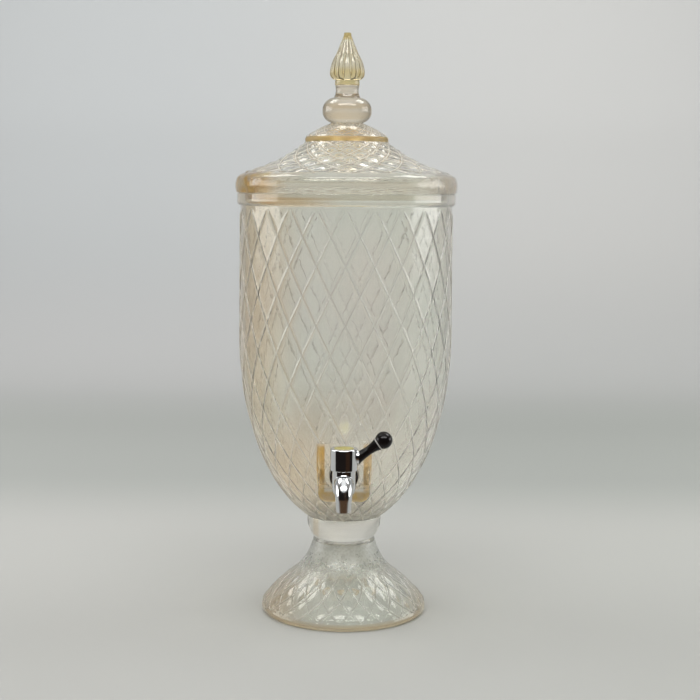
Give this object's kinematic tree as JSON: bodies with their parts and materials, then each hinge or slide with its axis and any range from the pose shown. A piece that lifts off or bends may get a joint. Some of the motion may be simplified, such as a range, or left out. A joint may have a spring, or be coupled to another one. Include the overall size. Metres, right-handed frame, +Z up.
{
  "type": "footed glass drink dispenser",
  "caption": "Urn-shaped pressed glass drink dispenser on a trumpet foot, with a conical lift-off lid, an amber fluted finial and a quarter-turn tap.",
  "frame": {"origin": "centre of the foot's resting ring, on the surface it stands on", "axes": "+Z up along the urn's axis; the tap faces -Y; its lever points to +X when closed"},
  "size_m": [0.203, 0.2331, 0.5334],
  "materials": {
    "clear_glass": "pressed glass with a faint champagne lustre",
    "amber_glass": "pressed glass, amber lustre",
    "chrome": "bright plated",
    "pale_gold": "satin",
    "black_plastic": "gloss black",
    "black_rubber": "matt",
    "clear_silicone": "translucent",
    "steel": "stainless",
    "white_nylon": "moulded, matt",
    "turned_brass": "turned",
    "valve_plastic": "smooth, hard"
  },
  "bodies": {
    "dispenser": {"pedestal": "clear_glass", "vessel": "clear_glass", "tap_body": "chrome", "outer_washer": "black_rubber", "inner_washer": "clear_silicone", "clamp_washer": "steel", "shank_nut": "white_nylon", "bonnet_nut": "turned_brass", "thrust_washer": "white_nylon"},
    "lid": {"lid": "clear_glass", "finial": "amber_glass"},
    "tap_handle": {"valve_plug": "valve_plastic", "upper_o_ring": "black_rubber", "lower_o_ring": "black_rubber", "handle_sleeve": "chrome", "handle_screw": "steel", "screw_washer": "steel", "cap_ring": "chrome", "cap_disc": "pale_gold", "lever_ferrule": "chrome", "handle_lever": "black_plastic", "lever_ball": "black_plastic"}
  },
  "joints": [
    {"name": "lid_lift", "type": "slide", "parent": "dispenser", "child": "lid", "axis": [0, 0, 1], "range_m": [0, 0.12]},
    {"name": "tap_turn", "type": "hinge", "parent": "dispenser", "child": "tap_handle", "pos_m": [0, -0.108, 0.1435], "axis": [0, 0, -1], "range_deg": [0, 90]}
  ]
}
